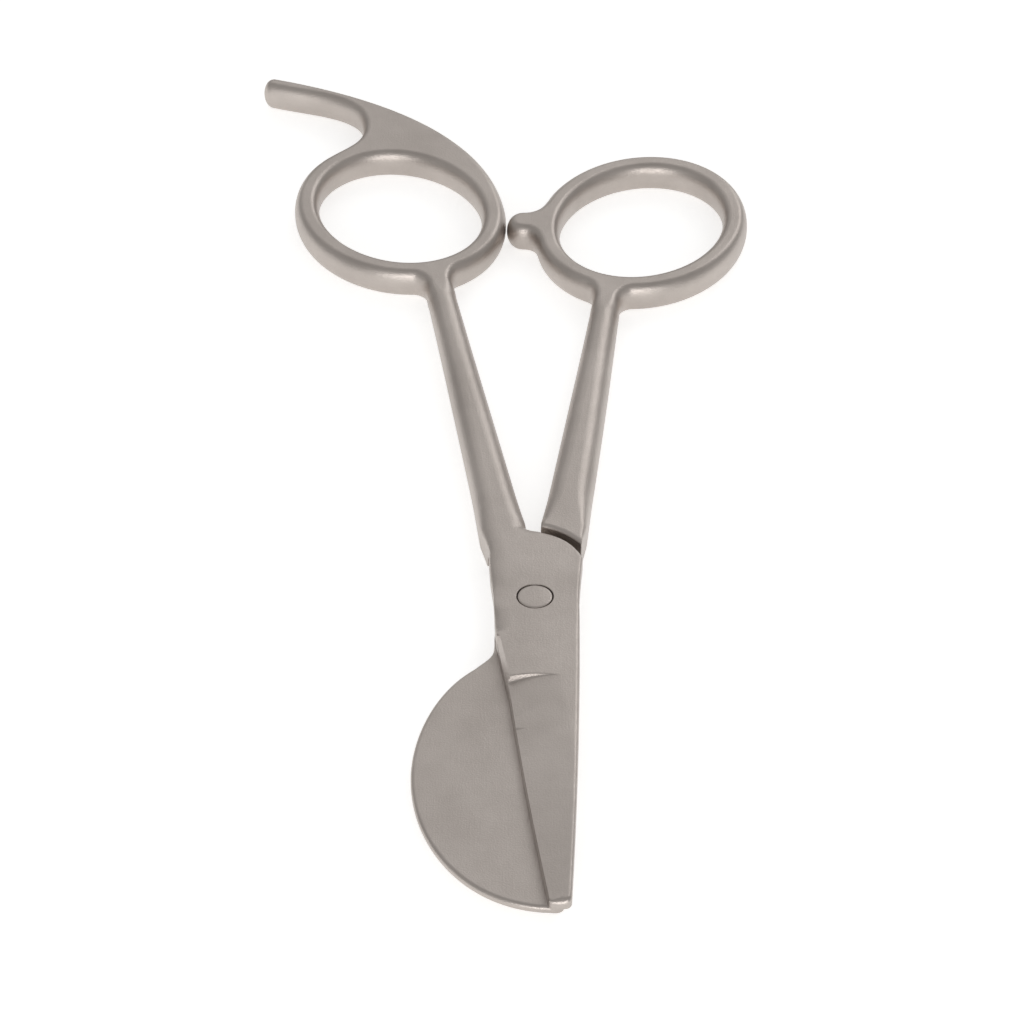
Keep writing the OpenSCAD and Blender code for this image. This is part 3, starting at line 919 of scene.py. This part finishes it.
class TRIMMER_OT_straight_half(bpy.types.Operator):
    """Upper half: finger ring and rest, shank, block and straight blade"""
    bl_idname = "trimmer.straight_half"
    bl_label = "Straight half"

    def execute(self, context):
        k = Sizes(context.scene)
        seat = TOTAL - HEAD_T - RUB_GAP
        bore, wide = RIVET_R + TURN_GAP, HEAD_R + HEAD_RING
        piece = forged_half(
            k, "straight_forging", straight_runs(k), k.finger_oval, straight_level, straight_lines,
            {"edge": 0.02, "tip": 0.8, "spine": 0.5, "flank": 2.0, "flank_rise": -1.3},
            {"edge": 0.02, "tip": 0.3, "spine": 0.3, "flank": 0.4},
            wide, bore, [ring_at(bore, seat), ring_at(wide, seat)], False)
        steel = satin_stainless("satin_stainless_straight", context.scene.trimmer_look, 0.033)
        hand_over(piece, "straight_side", "straight_half", steel)
        return {"FINISHED"}


class TRIMMER_OT_duckbill_half(bpy.types.Operator):
    """Lower half: thumb ring with its stop nub, shank, block and paddle"""
    bl_idname = "trimmer.duckbill_half"
    bl_label = "Duckbill half"

    def execute(self, context):
        k = Sizes(context.scene)
        piece = forged_half(
            k, "duckbill_forging", paddle_runs(k), k.thumb_oval, paddle_level, paddle_lines,
            {"rim": 0.5, "under": 0.02, "throat": 0.45, "flank": 0.4},
            {"rim": 0.5, "under": 0.02, "throat": 0.45, "flank": 0.4},
            HEAD_R, RIVET_R, [ring_at(RIVET_R, TOTAL - TAIL_T)], True)
        steel = satin_stainless("satin_stainless_duckbill", context.scene.trimmer_look, 0.033)
        hand_over(piece, "duckbill_side", "duckbill_half", steel)
        return {"FINISHED"}


class TRIMMER_OT_pivot_rivet(bpy.types.Operator):
    """Flush rivet: ground head, shank and peened tail"""
    bl_idname = "trimmer.pivot_rivet"
    bl_label = "Pivot rivet"

    def execute(self, context):
        bottom, top = float(rivet_low[2]), float(rivet_high[2])
        tail_r = HEAD_R - bottom * 0.7
        neck = TOTAL - HEAD_T
        profile = [(0.25, bottom), (tail_r - 0.06, bottom), (tail_r, bottom + 0.06), (RIVET_R, TAIL_T),
                   (RIVET_R, neck), (HEAD_R - 0.05, neck), (HEAD_R, neck + 0.05),
                   (HEAD_R, top - 0.16), (HEAD_R - 0.05, top - 0.07), (HEAD_R - 0.16, top - 0.015),
                   (HEAD_R - 0.3, top), (0.25, top)]
        n = 96
        rings = [np.column_stack([arc(vec(0, 0), r, 0, 360, n)[:-1], np.full(n, z)]) for r, z in profile]
        faces = [tuple(range(n - 1, -1, -1)), tuple(range((len(rings) - 1) * n, len(rings) * n))]
        for a in range(0, (len(rings) - 1) * n, n):
            faces += [(a + i, a + (i + 1) % n, a + n + (i + 1) % n, a + n + i) for i in range(n)]
        piece = mesh_object("pivot_rivet_head_and_shank", np.vstack(rings), faces)
        steel = satin_stainless("satin_stainless_rivet", context.scene.trimmer_look, 0.05)
        hand_over(piece, "duckbill_side", "pivot_rivet", steel)
        return {"FINISHED"}


class TRIMMER_OT_stage(bpy.types.Operator):
    """Pale floor, soft studio lights and the camera"""
    bl_idname = "trimmer.stage"
    bl_label = "Stage"

    def execute(self, context):
        look = context.scene.trimmer_look
        # A hair below the underside, so that the two never share a plane
        size, level = 6.0, -0.05 * MM
        verts = [(-size, -size, level), (size, -size, level), (size, size, level), (-size, size, level)]
        mesh = bpy.data.meshes.new("floor")
        mesh.from_pydata(verts, [], [(0, 1, 2, 3)])
        floor = bpy.data.objects.new("floor", mesh)
        context.scene.collection.objects.link(floor)
        mesh.materials.append(matt_floor(look))

        world = bpy.data.worlds.new("studio")
        context.scene.world = world
        world.use_nodes = True
        background = world.node_tree.nodes["Background"]
        background.inputs["Color"].default_value = (*linear("#F2F1F0"), 1)
        background.inputs["Strength"].default_value = 0.5 * look.light
        # A plain transfer, so that the hex colours come out as written
        context.scene.view_settings.view_transform = "Standard"
        # (name, place, width, depth, watts): the back one is what the flats reflect, the low front one
        # lights the walls that face the camera, and the right one draws a highlight down each shank
        for name, spot, wide, deep, power in (
                ("back_softbox", (0.0, 1.25, 1.04), 1.6, 1.0, 1.75),
                ("low_front_softbox", (0.0, -1.3, 0.34), 1.3, 0.4, 7.0),
                ("right_back_softbox", (0.5, 0.95, 0.66), 0.55, 0.55, 1.3)):
            data = bpy.data.lights.new(name, "AREA")
            data.shape, data.size, data.size_y = "RECTANGLE", wide, deep
            data.energy = power * look.light
            lamp = bpy.data.objects.new(name, data)
            lamp.location = spot
            lamp.rotation_mode = "QUATERNION"
            lamp.rotation_quaternion = (Vector((0, 0.03, 0)) - Vector(spot)).to_track_quat("-Z", "Y")
            context.scene.collection.objects.link(lamp)

        # The camera looks along +Y from above, with a long lens
        target = Vector((*CAMERA_AIM, MATE * MM))
        elevation, distance = math.radians(CAMERA_ELEVATION), CAMERA_DISTANCE
        data = bpy.data.cameras.new("camera")
        data.sensor_width, data.lens = 36, look.focal
        camera = bpy.data.objects.new("camera", data)
        back = Vector((0, -math.cos(elevation), math.sin(elevation)))
        camera.location = target + back * distance
        camera.rotation_mode = "QUATERNION"
        camera.rotation_quaternion = (-back).to_track_quat("-Z", "Y")
        data.clip_start, data.clip_end = 0.01, 50
        context.scene.collection.objects.link(camera)
        context.scene.camera = camera
        return {"FINISHED"}


class TRIMMER_PT_panel(bpy.types.Panel):
    """Lists the sizes and the steps"""
    bl_idname = "TRIMMER_PT_panel"
    bl_label = "Duckbill trimmer"
    bl_space_type = "VIEW_3D"
    bl_region_type = "UI"
    bl_category = "Trimmer"

    def draw(self, context):
        for group in ("trimmer_rings", "trimmer_blades", "trimmer_look"):
            box = self.layout.box()
            settings = getattr(context.scene, group)
            for name in settings.__annotations__:
                box.prop(settings, name)
        for step in STEPS:
            self.layout.operator(step.bl_idname)


GROUPS = {"trimmer_rings": TrimmerRings, "trimmer_blades": TrimmerBlades, "trimmer_look": TrimmerLook}
STEPS = (TRIMMER_OT_straight_half, TRIMMER_OT_duckbill_half, TRIMMER_OT_pivot_rivet, TRIMMER_OT_stage)


def register():
    for group in (*GROUPS.values(), *STEPS, TRIMMER_PT_panel):
        bpy.utils.register_class(group)
    for name, group in GROUPS.items():
        setattr(bpy.types.Scene, name, bpy.props.PointerProperty(type=group))


def unregister():
    for name in GROUPS:
        delattr(bpy.types.Scene, name)
    for group in (TRIMMER_PT_panel, *reversed(STEPS), *reversed(GROUPS.values())):
        bpy.utils.unregister_class(group)


def main():
    register()
    for step in STEPS:
        area, name = step.bl_idname.split(".")
        getattr(getattr(bpy.ops, area), name)()


if __name__ == "__main__":
    main()
